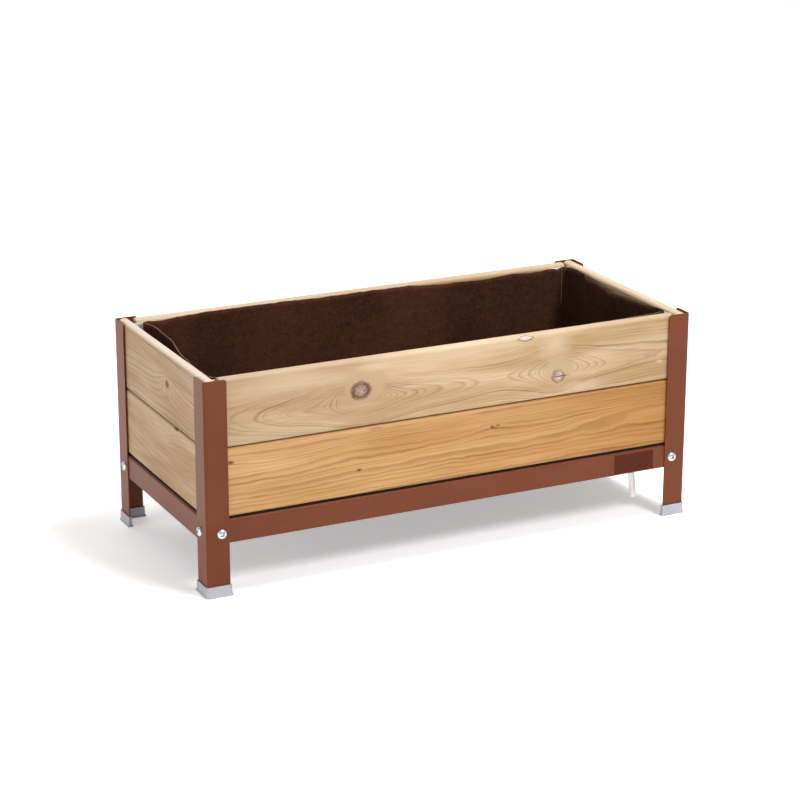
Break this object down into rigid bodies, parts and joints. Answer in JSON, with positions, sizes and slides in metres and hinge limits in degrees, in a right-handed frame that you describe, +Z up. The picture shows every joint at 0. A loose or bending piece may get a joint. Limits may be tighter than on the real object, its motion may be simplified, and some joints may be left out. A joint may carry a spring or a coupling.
{
  "type": "elevated planter",
  "caption": "Low rectangular planter of pine boards on a painted steel-angle frame with plastic foot caps, a felt liner, a drainage tray and a drain tube.",
  "frame": {"origin": "on the floor under the middle of the planter", "axes": "+X along the length, to the right as seen from the front; +Y towards the back; +Z up"},
  "size_m": [0.911, 0.411, 0.366],
  "materials": {
    "painted_steel": "satin powder coat",
    "zinc": "bright zinc plate",
    "grey_plastic": "moulded satin",
    "upper_pine": "planed, treated pine",
    "lower_pine": "planed, treated pine",
    "black_plastic": "moulded matt",
    "clear_tube": "milky, translucent",
    "brown_felt": "needle felt"
  },
  "bodies": {
    "root": {"leg_front_left": "painted_steel", "leg_front_right": "painted_steel", "leg_back_left": "painted_steel", "leg_back_right": "painted_steel", "front_rail": "painted_steel", "right_rail": "painted_steel", "back_rail": "painted_steel", "left_rail": "painted_steel", "foot_cap_front_left": "grey_plastic", "foot_cap_front_right": "grey_plastic", "foot_cap_back_left": "grey_plastic", "foot_cap_back_right": "grey_plastic", "front_lower_board": "lower_pine", "right_lower_board": "lower_pine", "back_lower_board": "lower_pine", "left_lower_board": "lower_pine", "front_upper_board": "upper_pine", "right_upper_board": "upper_pine", "back_upper_board": "upper_pine", "left_upper_board": "upper_pine", "front_rail_bolt_left": "zinc", "front_rail_bolt_right": "zinc", "right_rail_bolt_front": "zinc", "right_rail_bolt_back": "zinc", "back_rail_bolt_left": "zinc", "back_rail_bolt_right": "zinc", "left_rail_bolt_front": "zinc", "left_rail_bolt_back": "zinc", "front_rail_nut_left": "zinc", "front_rail_nut_right": "zinc", "right_rail_nut_front": "zinc", "right_rail_nut_back": "zinc", "back_rail_nut_left": "zinc", "back_rail_nut_right": "zinc", "left_rail_nut_front": "zinc", "left_rail_nut_back": "zinc", "corner_bracket_front_left": "zinc", "corner_bracket_front_right": "zinc", "corner_bracket_back_left": "zinc", "corner_bracket_back_right": "zinc", "front_lower_board_screw_left": "zinc", "front_lower_board_screw_right": "zinc", "front_upper_board_screw_left": "zinc", "front_upper_board_screw_right": "zinc", "right_lower_board_screw_front": "zinc", "right_lower_board_screw_back": "zinc", "right_upper_board_screw_front": "zinc", "right_upper_board_screw_back": "zinc", "back_lower_board_screw_left": "zinc", "back_lower_board_screw_right": "zinc", "back_upper_board_screw_left": "zinc", "back_upper_board_screw_right": "zinc", "left_lower_board_screw_front": "zinc", "left_lower_board_screw_back": "zinc", "left_upper_board_screw_front": "zinc", "left_upper_board_screw_back": "zinc", "drain_tray": "black_plastic", "drain_outlet": "black_plastic", "drain_tube": "clear_tube", "felt_liner": "brown_felt"}
  },
  "joints": []
}
